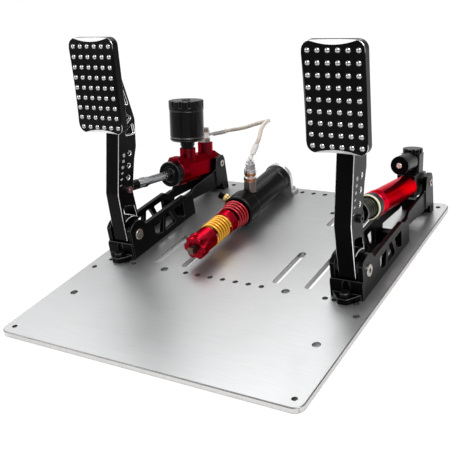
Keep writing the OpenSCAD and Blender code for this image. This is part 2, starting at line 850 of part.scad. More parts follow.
// Rings of sides points each, joined into one closed tube
module tube(rings, sides) {
    last = len(rings) - 1;
    polyhedron(
        points = [for (r = rings) each r],
        faces = concat(
            [[for (k = [0:sides - 1]) k]],
            [for (i = [0:last - 1], k = [0:sides - 1])
                let (a = i * sides + k, b = i * sides + (k + 1) % sides)
                each [[a, a + sides, b + sides], [a, b + sides, b]]],
            [[for (k = [sides - 1:-1:0]) last * sides + k]]
        ),
        convexity = 6
    );
}

module brake_hose() {
    n = len(hose_line);
    rings = [
        for (i = [0:n - 1])
            let (
                t = i == 0 ? hose_out : i == n - 1 ? -hose_in : unit(hose_line[i + 1] - hose_line[i - 1]),
                u = unit(cross(t, hose_side)),
                v = cross(t, u)
            )
            [for (k = [0:hose_sides - 1])
                hose_line[i] + hose_d / 2 * (u * cos(k * 360 / hose_sides) + v * sin(k * 360 / hose_sides))]
    ];
    color("wheat") from_front() tube(rings, hose_sides);
}

// Load cylinder

module on_slave(y) from_front() translate([slave_x, y, slave_z]) rotate([-90, 0, 0]) children();

// Port frame: z along the port from the cylinder's axis
module up_port(t)
    from_front() translate([slave_x, slave_port, slave_z]) rotate([0, slave_roll, 0])
        translate([0, 0, t]) children();
function port_point(t) =
    [slave_x + (slave_r + t) * sin(slave_roll), slave_port, slave_z + (slave_r + t) * cos(slave_roll)];

rear_groove = 16;

module slave_body()
    color(black) difference() {
        on_slave(slave_collar_back)
            difference() {
                union() {
                    cylinder(h = slave_back - slave_collar_back - 1, r = slave_r);
                    translate([0, 0, slave_back - slave_collar_back - 1])
                        cylinder(h = 1, r1 = slave_r, r2 = slave_r - 1);
                }
                translate([0, 0, -1]) cylinder(h = slave_back - slave_collar_back - 11, r = slave_bore_r);
                translate([0, 0, slave_back - slave_collar_back - rear_groove])
                    ring(slave_r + 1, slave_r - 1, 2);
            }
        up_port(port_seat) cylinder(h = 20, r = port_hex / 2 / cos(30) + free_gap);
        up_port(0) cylinder(h = 30, r = port_shank_r + run_gap);
    }

// Sensor frame: z outward from the collar, to the left and a little up
sensor_turn = -64;
sensor_y = 358;
sensor_seat = slave_collar_r - 1;
sensor_r = 7;
sensor_shank_r = 3.5;
module up_sensor(t)
    from_front() translate([slave_x, sensor_y, slave_z]) rotate([0, sensor_turn, 0])
        translate([0, 0, t]) children();

module slave_collar()
    color(black) difference() {
        on_slave(slave_collar_front)
            difference() {
                soft_disc(slave_collar_r, slave_collar_back - slave_collar_front, 1.5);
                translate([0, 0, -1]) cylinder(h = 60, r = slave_rod_r + run_gap);
            }
        up_sensor(sensor_seat) cylinder(h = 10, r = sensor_r - 1);
        up_sensor(sensor_seat - 10) cylinder(h = 20, r = sensor_shank_r + run_gap);
    }

module pressure_sensor()
    color("goldenrod") up_sensor(sensor_seat) {
        translate([0, 0, -8]) cylinder(h = 8 + eps, r = sensor_shank_r);
        cylinder(h = 3, r = sensor_r - 1.4);
        translate([0, 0, 3 - eps]) soft_disc(sensor_r, 6, 0.8);
        translate([0, 0, 9 - 2 * eps]) cylinder(h = 5, r = sensor_r - 2);
        translate([0, 0, 14 - 3 * eps]) soft_disc(sensor_r - 1.4, 4, 0.6);
    }

bracket_bolt_x = 19;
bracket_foot = 18;
bracket_foot_t = 6;
bracket_bolt_y = slave_back + slave_bracket_t + 5.5;
bracket_bolt_r = 2.5;
bracket_bolt_head_r = 4.4;

module slave_bracket()
    color(steel) from_front() translate([slave_x, slave_back, 0])
        difference() {
            union() {
                translate([0, slave_bracket_t, 0]) rotate([90, 0, 0])
                    linear_extrude(slave_bracket_t) {
                        translate([-slave_bracket_r, 0]) square([2 * slave_bracket_r, slave_z]);
                        translate([0, slave_z]) circle(r = slave_bracket_r);
                    }
                translate([-bracket_bolt_x - 7, 0, 0])
                    cube([2 * (bracket_bolt_x + 7), bracket_foot, bracket_foot_t]);
            }
            for (s = [-1, 1])
                translate([s * bracket_bolt_x, bracket_bolt_y - slave_back, -1])
                    cylinder(h = 20, r = bracket_bolt_r + run_gap);
            translate([0, -1, slave_z]) rotate([-90, 0, 0]) cylinder(h = 20, r = 8);
        }

module bracket_bolts()
    color(grey) from_front()
        for (s = [-1, 1])
            translate([slave_x + s * bracket_bolt_x, bracket_bolt_y, bracket_foot_t])
                cap_screw(bracket_bolt_r, bracket_bolt_head_r, 4, 12);

// Stack on the port: hexagon, sealing rings and nut
port_hex = 18;
port_hex_t = 19;
port_shank_r = 4;
port_stem_r = 3.4;
port_rings = [[9.5, 5], [7.5, 4], [9, 9.3]];
port_nut = 14;
port_nut_t = 9;

module slave_port_hex()
    color(grey) up_port(port_seat)
        difference() {
            union() {
                hexagon(port_hex, port_hex_t);
                translate([0, 0, -4]) cylinder(h = 4 + eps, r = port_shank_r);
            }
            translate([0, 0, -5]) cylinder(h = 40, r = 1.5);
        }

function rings_height(n) = n == 0 ? 0 : port_rings[n - 1][1] + rings_height(n - 1);

module slave_port_washers()
    color("peru") up_port(port_seat + port_hex_t)
        for (i = [0:len(port_rings) - 1])
            translate([0, 0, rings_height(i)])
                ring(port_rings[i][0], port_stem_r + run_gap, port_rings[i][1]);

module slave_port_nut()
    color(steel) up_port(port_seat + port_hex_t + rings_height(len(port_rings)))
        difference() {
            union() {
                hexagon(port_nut, port_nut_t);
                translate([0, 0, port_nut_t - eps]) cylinder(h = 4, r = 6);
                translate([0, 0, -rings_height(len(port_rings))])
                    cylinder(h = rings_height(len(port_rings)) + eps, r = port_stem_r);
            }
            translate([0, 0, -20]) cylinder(h = 60, r = 1.2);
        }

// Rod with its square end, shoulder seat for the springs and the piston
stub_len = 10;
stub_w = 8.4;
slave_piston_front = 386;
slave_piston_len = 14;

module slave_rod()
    color(grey) {
        on_slave(slave_stub_front)
            translate([-stub_w / 2, -stub_w / 2, 0]) cube([stub_w, stub_w, stub_len + 1]);
        on_slave(slave_stub_front + stub_len)
            cylinder(h = slave_piston_front - slave_stub_front - stub_len + 1, r = slave_rod_r);
        on_slave(slave_piston_front)
            difference() {
                cylinder(h = slave_piston_len, r = slave_bore_r - run_gap);
                translate([0, 0, 5]) ring(slave_bore_r + 1, slave_bore_r - 2, 3);
            }
    }

module slave_seat()
    color(red) on_slave(slave_knob_back)
        difference() {
            soft_disc(slave_seat_r, slave_seat_back - slave_knob_back, 0.8);
            translate([0, 0, -1]) cylinder(h = 60, r = slave_rod_r + run_gap);
        }

// Adjusting knob: six lobes in front, a notched skirt behind and a pocket round the rod's end
lobes = 6;
lobe_cut_r = 7;
lobe_cut_deep = 3.6;
skirt_cut_deep = 1.2;
knob_lip = 8;

module slave_knob()
    color(red) on_slave(slave_knob_front)
        difference() {
            soft_disc(slave_knob_r, slave_knob_back - slave_knob_front - free_gap, 1.4);
            for (i = [0:lobes - 1])
                rotate([0, 0, (i + 0.5) * 360 / lobes]) {
                    translate([slave_knob_r + lobe_cut_r - lobe_cut_deep, 0, -1])
                        cylinder(h = knob_lip + 1, r = lobe_cut_r);
                    translate([slave_knob_r + lobe_cut_r - skirt_cut_deep, 0, -1])
                        cylinder(h = 40, r = lobe_cut_r);
                }
            translate([0, 0, -1]) cylinder(h = 5, r = 9.2);
            translate([0, 0, -1]) cylinder(h = 60, r = slave_rod_r + run_gap);
        }

module slave_divider()
    color(red) on_slave(slave_divider_front)
        difference() {
            soft_disc(slave_band_r, slave_divider_back - slave_divider_front, 1);
            translate([0, 0, -1]) cylinder(h = 60, r = slave_rod_r + run_gap);
            for (i = [0:lobes - 1])
                rotate([0, 0, i * 360 / lobes])
                    translate([slave_band_r + 1.2, 0, 4]) cylinder(h = 9, r = 2.4, $fn = 24);
        }

// Coil of round wire standing on z = 0. Its mean radius goes from r0 to r1
coil_steps = 8;
coil_sides = 6;
function coil_line(r0, r1, wire, tall, turns) =
    let (n = ceil(turns * coil_steps))
    [for (i = [0:n])
        let (a = i * turns * 360 / n, r = r0 + (r1 - r0) * i / n)
        [r * cos(a), r * sin(a), wire / 2 + (tall - wire) * i / n]];

// Least distance between the surfaces of two turns, measured on the coil's points
function least_gap(line, wire) =
    min([for (i = [0:len(line) - 1], k = [i + coil_steps / 2:1:len(line) - 1])
        norm(line[i] - line[k])]) - wire;

module coil(r0, r1, wire, tall, turns) {
    line = coil_line(r0, r1, wire, tall, turns);
    n = len(line) - 1;
    rings = [
        for (i = [0:n])
            let (
                a = i * turns * 360 / n,
                lead = atan2((tall - wire) / turns, PI * (r0 + r1)),
                u = [cos(a), sin(a), 0],
                v = [sin(lead) * sin(a), -sin(lead) * cos(a), cos(lead)]
            )
            [for (k = [0:coil_sides - 1])
                line[i] + wire / 2 * (u * cos(k * 360 / coil_sides) + v * sin(k * 360 / coil_sides))]
    ];
    tube(rings, coil_sides);
}

gold_wire = 3.2;
gold_turns = 6;
gold_tall = slave_divider_front - slave_seat_back - 2 * free_gap;
gold_r = slave_band_r - gold_wire / 2;
red_wire = 2.8;
red_turns = 4.5;
red_tall = slave_collar_front - slave_divider_back - 2 * free_gap;
red_small_r = slave_band_r - 0.6;
red_large_r = slave_r - red_wire / 2;
damper_wire = 2.2;
damper_turns = 6;
damper_tall = damper_seat_back - damper_cup_floor - 2 * free_gap;
damper_coil_r = damper_cup_r - 0.9 - damper_wire / 2;

gold_line = coil_line(gold_r, gold_r, gold_wire, gold_tall, gold_turns);
red_line = coil_line(red_small_r, red_large_r, red_wire, red_tall, red_turns);
damper_line = coil_line(damper_coil_r, damper_coil_r, damper_wire, damper_tall, damper_turns);
echo(gap_gold = least_gap(gold_line, gold_wire));
echo(gap_red = least_gap(red_line, red_wire));
echo(gap_damper = least_gap(damper_line, damper_wire));

module slave_spring_gold()
    color("gold") on_slave(slave_seat_back + free_gap)
        coil(gold_r, gold_r, gold_wire, gold_tall, gold_turns);

module slave_spring_red()
    color(red) on_slave(slave_divider_back + free_gap)
        coil(red_small_r, red_large_r, red_wire, red_tall, red_turns);

// Throttle damper

damper_piston_back = 122;
damper_piston_len = 12;

module damper_rod()
    color(grey) at_pedal(1) on_link(throttle_lean) {
        translate([0, 0, damper_piston_back])
            cylinder(h = damper_seat_back - damper_piston_back, r = damper_rod_r);
        translate([0, 0, damper_seat_back - eps]) cylinder(h = tip_len, r = rod_tip_r);
        translate([0, 0, damper_piston_back])
            difference() {
                cylinder(h = damper_piston_len, r = damper_bore_r - run_gap);
                translate([0, 0, 4.5]) ring(damper_bore_r + 1, damper_bore_r - 1.5, 3);
            }
    }

// Rod end with the flange the damper spring pushes on
module damper_rod_end()
    color(black) at_pedal(1) {
        rod_end(throttle_lean, damper_seat_back, end_neck_r);
        on_link(throttle_lean) translate([0, 0, damper_seat_back])
            difference() {
                soft_disc(damper_seat_r, damper_seat_t, 0.6);
                translate([0, 0, -1]) cylinder(h = 10, r = rod_tip_r + run_gap);
            }
    }

module damper_spring()
    color(grey) at_pedal(1) on_link(throttle_lean) translate([0, 0, damper_cup_floor + free_gap])
        coil(damper_coil_r, damper_coil_r, damper_wire, damper_tall, damper_turns);

module damper_ring()
    color(cream) at_pedal(1) on_link(throttle_lean) translate([0, 0, damper_ring_back])
        difference() {
            soft_disc(damper_ring_r, damper_ring_front - damper_ring_back, 0.6);
            translate([0, 0, -1]) cylinder(h = 20, r = damper_shoulder_r + run_gap);
        }

// Front collar: closes the tube, holds the ring on a shoulder and the spring in a cup
module damper_collar()
    color(black) at_pedal(1) on_link(throttle_lean) translate([0, 0, damper_collar_back])
        difference() {
            union() {
                soft_disc(damper_collar_r, damper_ring_back - damper_collar_back, 0.8);
                cylinder(h = damper_ring_front - damper_collar_back, r = damper_shoulder_r);
            }
            translate([0, 0, -1]) cylinder(h = 40, r = damper_rod_r + run_gap);
            translate([0, 0, damper_cup_floor - damper_collar_back]) cylinder(h = 40, r = damper_cup_r);
        }

damper_flutes = 6;
damper_bore_back = 52;
flute_r = 2.4;
flute_deep = 0.8;

module damper_tube()
    color(red) at_pedal(1) on_link(throttle_lean)
        difference() {
            union() {
                translate([0, 0, damper_block_front])
                    soft_disc(damper_r, damper_lip_back + 1 - damper_block_front, 0.6);
                translate([0, 0, damper_lip_back])
                    soft_disc(damper_lip_r, damper_collar_back - damper_lip_back, 1);
            }
            translate([0, 0, damper_bore_back]) cylinder(h = 200, r = damper_bore_r);
            for (i = [0:damper_flutes - 1])
                rotate([0, 0, (i + 0.5) * 360 / damper_flutes])
                    translate([damper_r + flute_r - flute_deep, 0, damper_block_front + 8])
                        cylinder(h = damper_lip_back - damper_block_front - 16, r = flute_r, $fn = 24);
            translate([0, 0, (damper_lip_back + damper_collar_back) / 2 - 0.6])
                ring(damper_lip_r + 1, damper_lip_r - 0.8, 1.2);
        }

// Rear block: eye on the rear pin, head of the tube and the bridge up to the canister
block_eye_r = 13;
block_low = -15;
block_high = 16;
bridge_corner_r = 4;
valve_r = 5;

module damper_block()
    color(black) at_pedal(1) on_link(throttle_lean)
        difference() {
            union() {
                rotate([0, -90, 0]) linear_extrude(2 * block_half, center = true)
                    polygon(rounded([
                        [-10, -8, 3], [-10, 9, 4], [-2, block_high, 4], [damper_block_front, block_high, 0],
                        [damper_block_front, block_low, 0], [2, block_low, 4]
                    ]));
                translate([0, block_high - 1, knob_at]) rotate([-90, 0, 0])
                    linear_extrude(block_up - block_high + 1) bridge_outline();
                translate([0, canister_up, knob_at])
                    cylinder(h = canister_back - knob_at, r = min(canister_r - 2, block_up - canister_up));
            }
            cross_bore([0, 0], pin_r + run_gap);
            translate([0, block_up - 12, knob_at]) rotate([-90, 0, 0])
                cylinder(h = 40, r = valve_r + run_gap);
        }

module bridge_outline()
    polygon(rounded([for (c = [[1, 1], [-1, 1], [-1, -1], [1, -1]])
        [c[0] * block_half, c[1] * (block_half - 1), bridge_corner_r]]));

canister_screw_r = 3.8;

module damper_canister()
    color(black) at_pedal(1) on_link(throttle_lean) translate([0, canister_up, canister_back])
        difference() {
            union() {
                soft_disc(canister_r, canister_front - canister_back, 1);
                translate([0, 0, canister_front - canister_back - eps])
                    soft_disc(canister_screw_r, 1.6, 0.5);
            }
            translate([0, 0, canister_front - canister_back - 6])
                ring(canister_r + 1, canister_r - 0.8, 1.2);
        }

knob_grips = 8;

module damper_knob()
    color(black) at_pedal(1) on_link(throttle_lean)
        translate([0, block_up + free_gap, knob_at]) rotate([-90, 0, 0])
            difference() {
                union() {
                    soft_disc(damper_knob_r, damper_knob_t, 0.8);
                    translate([0, 0, -10]) cylinder(h = 10 + eps, r = valve_r);
                }
                for (i = [0:knob_grips - 1])
                    rotate([0, 0, (i + 0.5) * 360 / knob_grips])
                        translate([damper_knob_r + 1.6, 0, -1]) cylinder(h = 10, r = 2.6, $fn = 24);
            }

// Drawing

base_plate();
brake_wall_left();
brake_wall_right();
brake_foot_block();
throttle_wall_left();
throttle_wall_right();
throttle_foot_block();
tie_blocks();
pivot_bolts();
pivot_spacers();
rear_pins();
foot_bolts();
brake_arm();
brake_pad();
brake_pad_studs();
brake_linkage_bolt();
brake_ball();
throttle_arm();
throttle_pad();
throttle_pad_studs();
throttle_linkage_bolt();
throttle_ball();
brake_rod_end();
brake_jam_nut();
brake_push_rod();
master_piston();
master_cap();
master_body();
master_adapter();
banjo_washers();
banjo_bolt();
brake_banjo();
reservoir_neck();
reservoir_body();
reservoir_cap();
brake_hose();
hose_sleeve();
slave_body();
slave_collar();
slave_bracket();
bracket_bolts();
slave_port_hex();
slave_port_washers();
slave_port_nut();
pressure_sensor();
slave_rod();
slave_seat();
slave_knob();
slave_divider();
slave_spring_gold();
slave_spring_red();
damper_rod_end();
damper_rod();
damper_spring();
damper_ring();
damper_collar();
damper_tube();
damper_block();
damper_canister();
damper_knob();
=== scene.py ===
import json
import math

import bmesh
import bpy
import numpy as np
from mathutils import Matrix, Vector


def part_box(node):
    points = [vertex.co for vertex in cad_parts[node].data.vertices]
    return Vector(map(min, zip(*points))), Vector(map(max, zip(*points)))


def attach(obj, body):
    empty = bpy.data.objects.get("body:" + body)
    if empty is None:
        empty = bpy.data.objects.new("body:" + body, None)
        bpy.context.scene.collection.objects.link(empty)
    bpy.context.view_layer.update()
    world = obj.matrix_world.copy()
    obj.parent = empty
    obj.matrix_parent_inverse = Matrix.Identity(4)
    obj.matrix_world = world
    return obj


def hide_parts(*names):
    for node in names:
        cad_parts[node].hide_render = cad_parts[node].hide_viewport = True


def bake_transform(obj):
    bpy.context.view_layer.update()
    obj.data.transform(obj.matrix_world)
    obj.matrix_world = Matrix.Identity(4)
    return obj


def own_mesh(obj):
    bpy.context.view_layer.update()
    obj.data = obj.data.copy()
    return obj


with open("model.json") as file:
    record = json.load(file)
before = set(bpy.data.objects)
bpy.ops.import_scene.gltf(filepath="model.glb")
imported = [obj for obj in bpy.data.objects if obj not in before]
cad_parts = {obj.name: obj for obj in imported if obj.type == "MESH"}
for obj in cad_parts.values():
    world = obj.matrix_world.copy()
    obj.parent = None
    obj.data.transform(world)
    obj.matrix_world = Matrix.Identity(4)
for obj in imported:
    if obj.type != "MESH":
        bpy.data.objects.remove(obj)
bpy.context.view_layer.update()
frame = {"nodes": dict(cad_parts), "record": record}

nodes = frame["nodes"]
BODY = {name: body for body, held in frame["record"]["behaviour"]["bodies"].items() for name in held}

# Main sizes and places, in millimetres from the plate's middle, its front edge and its top

MM = 0.001
PLATE_MIDDLE, PLATE_T = 250.5, 8.0
PEDAL_X = 176.8
PIN = (468.4, 47.5)
PIVOT = np.array([232.0, 32.4])
ARM_HOLES = [(246, 115), (252, 131), (259, 147)]
THROTTLE_SLOPE = math.radians(12.5805)
THROTTLE_LEAN = -2.5
LOAD_X, LOAD_Z = -54, 28
LOAD_AXIS = (LOAD_X * MM, (LOAD_Z + PLATE_T) * MM)
SENSOR_LEAN, PORT_LEAN = math.radians(64), math.radians(9)
STRANDS = 400


# Shader arithmetic

class Wire:
    """An output socket that takes part in Python arithmetic by adding Math nodes."""

    def __init__(self, paint, socket):
        self.paint, self.socket = paint, socket

    def _math(self, operation, a, b):
        return self.paint.node("ShaderNodeMath", {"operation": operation}, {0: a, 1: b})

    def __add__(self, other):
        return self._math("ADD", self, other)

    def __radd__(self, other):
        return self._math("ADD", other, self)

    def __sub__(self, other):
        return self._math("SUBTRACT", self, other)

    def __rsub__(self, other):
        return self._math("SUBTRACT", other, self)

    def __mul__(self, other):
        return self._math("MULTIPLY", self, other)

    def __rmul__(self, other):
        return self._math("MULTIPLY", other, self)

    def sin(self):
        return self._math("SINE", self, 0.0)

    def size(self):
        return self._math("ABSOLUTE", self, 0.0)

    def ramp(self, low, high):
        """0 below low, 1 above high and smooth in between."""
        return self.paint.node("ShaderNodeMapRange", {"interpolation_type": "SMOOTHSTEP"},
                               {0: self, 1: low, 2: high, 3: 0.0, 4: 1.0})


class Paint:
    """One material, built from nodes round a Principled shader."""

    def __init__(self, name, **fixed):
        self.material = bpy.data.materials.new(name)
        self.material.use_nodes = True
        self.tree = self.material.node_tree
        self.shader = self.tree.nodes["Principled BSDF"]
        for socket, value in fixed.items():
            self.set(socket.replace("_", " "), value)
        self.place = self.node("ShaderNodeTexCoord", {}, {}, "Object")

    def node(self, kind, settings, values, out=0):
        made = self.tree.nodes.new(kind)
        for key, value in settings.items():
            setattr(made, key, value)
        for key, value in values.items():
            if isinstance(value, Wire):
                self.tree.links.new(value.socket, made.inputs[key])
            else:
                made.inputs[key].default_value = value
        return Wire(self, made.outputs[out])

    def set(self, socket, value):
        if isinstance(value, Wire):
            self.tree.links.new(value.socket, self.shader.inputs[socket])
        else:
            self.shader.inputs[socket].default_value = value

    def noise(self, scale, detail=2.0, stretch=(1, 1, 1)):
        """Noise from 0 to 1, drawn out along an axis where stretch is small."""
        spread = self.node("ShaderNodeMapping", {}, {"Vector": self.place, "Scale": stretch})
        return self.node("ShaderNodeTexNoise", {},
                         {"Vector": spread, "Scale": scale, "Detail": detail}, "Fac")

    def blend(self, share, a, b):
        """Colour a where share is 0, colour b where it is 1."""
        return self.node("ShaderNodeMix", {"data_type": "RGBA"}, {0: share, 6: a, 7: b}, 2)

    def bump(self, height, distance, strength=1.0):
        self.set("Normal", self.node("ShaderNodeBump", {},
                                     {"Height": height, "Distance": distance, "Strength": strength}))

    def axes(self, vector=None):
        """The three parts of a vector, or of the place on the object."""
        split = self.tree.nodes.new("ShaderNodeSeparateXYZ")
        self.tree.links.new((vector or self.place).socket, split.inputs[0])
        return [Wire(self, split.outputs[i]) for i in range(3)]


def grey(v, tint=0.0):
    return (v - tint, v, v + tint, 1)


def spot(x, y, z):
    """A place in the plate's millimetres as metres in the row frame."""
    return np.stack(np.broadcast_arrays(x, np.subtract(y, PLATE_MIDDLE), np.add(z, PLATE_T)), -1) * MM


def on_damper(x, up, along):
    """A place x to the right of the damper's axis, up from it, and along it from the rear pin."""
    return spot(PEDAL_X + x,
                PIN[0] - along * math.cos(THROTTLE_SLOPE) + up * math.sin(THROTTLE_SLOPE),
                PIN[1] + along * math.sin(THROTTLE_SLOPE) + up * math.cos(THROTTLE_SLOPE))


# Finishes

def plate_finish():
    """Brushed aluminium: long streaks along X, fine hair lines, cloudy shine and faint smears."""
    p = Paint("plate", Metallic=0.9)
    streak = p.noise(60, 3, (0.35, 14, 14))
    fine = p.noise(900, 2, (0.04, 1, 1))
    cloud = p.noise(5, 2)
    smear = p.noise(14, 4, (1, 0.5, 1)).ramp(0.55, 0.75)
    p.set("Base Color", p.blend(streak * 0.5 + fine * 0.2 + cloud * 0.3,
                                grey(0.29, 0.004), grey(0.47, 0.002)))
    p.set("Roughness", 0.28 + 0.14 * streak + 0.05 * fine + 0.06 * smear)
    p.bump(streak * 0.4 + fine, 0.00003, 0.5)
    return p.material


def anodised(name, deep, light, rough=0.34, metal=0.9, tint=(1, 1, 1, 1)):
    """Anodised metal: a fine blasted grain, faint machining lines and a colour that clouds a little."""
    p = Paint(name, Metallic=metal, Specular_IOR_Level=0.15, Specular_Tint=tint)
    grain = p.noise(2600, 2)
    cloud = p.noise(45, 3)
    lines = p.noise(420, 1, (1, 0.05, 0.05))
    rub = p.noise(150, 4).ramp(0.66, 0.74)
    p.set("Base Color", p.blend(cloud * 0.6 + grain * 0.25 + rub * 0.15, deep, light))
    p.set("Roughness", rough - 0.06 + 0.08 * cloud + 0.06 * grain + 0.03 * rub)
    p.bump(grain * 0.7 + lines * 0.3, 0.00001, 0.35)
    return p.material


def enamel(name, deep, light):
    """Powder-coated wire: a slight orange peel under a clear gloss."""
    p = Paint(name, Metallic=0.35, Coat_Weight=0.5, Coat_Roughness=0.15, Roughness=0.32)
    peel, cloud = p.noise(1400, 2), p.noise(90, 2)
    p.set("Base Color", p.blend(cloud * 0.7 + peel * 0.3, deep, light))
    p.bump(peel, 0.00002, 0.4)
    return p.material


def metal(name, deep, light, rough=0.22, swirl=(1, 1, 1)):
    """Bright turned or ground metal: fine tool lines and small changes of shine."""
    p = Paint(name, Metallic=1.0)
    lines = p.noise(900, 2, swirl)
    cloud = p.noise(80, 2)
    p.set("Base Color", p.blend(lines * 0.5 + cloud * 0.5, deep, light))
    p.set("Roughness", rough - 0.05 + 0.08 * cloud + 0.05 * lines)
    p.bump(lines, 0.000015, 0.5)
    return p.material


def moulded(name, deep, light, rough=0.4, coat=0.0):
    """Moulded plastic: a fine spark-eroded grain."""
    p = Paint(name, Metallic=0.0, Specular_IOR_Level=0.15, Coat_Weight=coat, Coat_Roughness=0.06)
    grain = p.noise(1800, 3)
    cloud = p.noise(60, 2)
    p.set("Base Color", p.blend(grain * 0.4 + cloud * 0.6, deep, light))
    p.set("Roughness", rough - 0.05 + 0.1 * grain)
    p.bump(grain, 0.00003, 0.5)
    return p.material


def braid_finish():
    """Woven strands under a clear sleeve: two families cross on the tube's own length and turn."""
    p = Paint("hose_braid", Metallic=0.1, Coat_Weight=0.35, Coat_Roughness=0.12)
    along, turn, _ = p.axes(p.node("ShaderNodeTexCoord", {}, {}, "UV"))
    left = ((along * STRANDS + turn * 8) * math.pi).sin()
    right = ((along * STRANDS - turn * 8) * math.pi).sin()
    over = (left * right) * 0.5 + 0.5
    strand = (left.size() * right.size()).ramp(0.0, 0.12)
    thread = (((along * STRANDS + turn * 8) * math.pi * 6).sin() * 0.5 + 0.5) * over
    weave = p.blend(over * 0.7 + thread * 0.3, (0.50, 0.44, 0.36, 1), (0.76, 0.70, 0.61, 1))
    p.set("Base Color", p.blend(strand, (0.22, 0.17, 0.12, 1), weave))
    p.set("Roughness", 0.5 - 0.15 * strand)
    p.bump(over * 0.6 + strand * 0.4 + thread * 0.2, 0.0003, 0.8)
    return p.material


def two_tone(name, far, near_tone, far_tone, rough=0.28):
    """Metal whose colour changes where far, built from the surface's own place, goes from 0 to 1."""
    p = Paint(name, Metallic=1.0)
    share = far(p)
    lines = p.noise(900, 2)
    grain = p.noise(2600, 2)
    p.set("Base Color", p.blend(share, p.blend(lines, *near_tone), p.blend(grain, *far_tone)))
    p.set("Roughness", rough + 0.08 * lines)
    p.bump(lines * 0.5 + grain * 0.5, 0.00002, 0.5)
    return p.material


def sensor_tip(p):
    """1 on the plug at the far end of the pressure sensor, which leans out to the left."""
    x, _, z = p.axes()
    out = (LOAD_AXIS[0] - x) * math.sin(SENSOR_LEAN) + (z - LOAD_AXIS[1]) * math.cos(SENSOR_LEAN)
    return out.ramp(0.0322, 0.0324)


def port_stripes(p):
    """0 on the two copper rings of the hose's port and 1 on the bright rings above each."""
    x, _, z = p.axes()
    up = (x - LOAD_AXIS[0]) * math.sin(PORT_LEAN) + (z - LOAD_AXIS[1]) * math.cos(PORT_LEAN)
    return up.ramp(0.0431, 0.0432) - up.ramp(0.0471, 0.0472) + up.ramp(0.0515, 0.0516)


def canister_screw(p):
    """1 on the screw in the middle of the canister's front."""
    _, y, z = p.axes()
    pin_y, pin_z = (PIN[0] - PLATE_MIDDLE) * MM, (PIN[1] + PLATE_T) * MM
    along = (pin_y - y) * math.cos(THROTTLE_SLOPE) + (z - pin_z) * math.sin(THROTTLE_SLOPE)
    return along.ramp(0.07103, 0.07106)


def rod_middle(p):
    """1 on the load rod from its springs rearward, and 0 on the end that the knob shows."""
    _, y, _ = p.axes()
    return y.ramp(0.008, 0.0085)


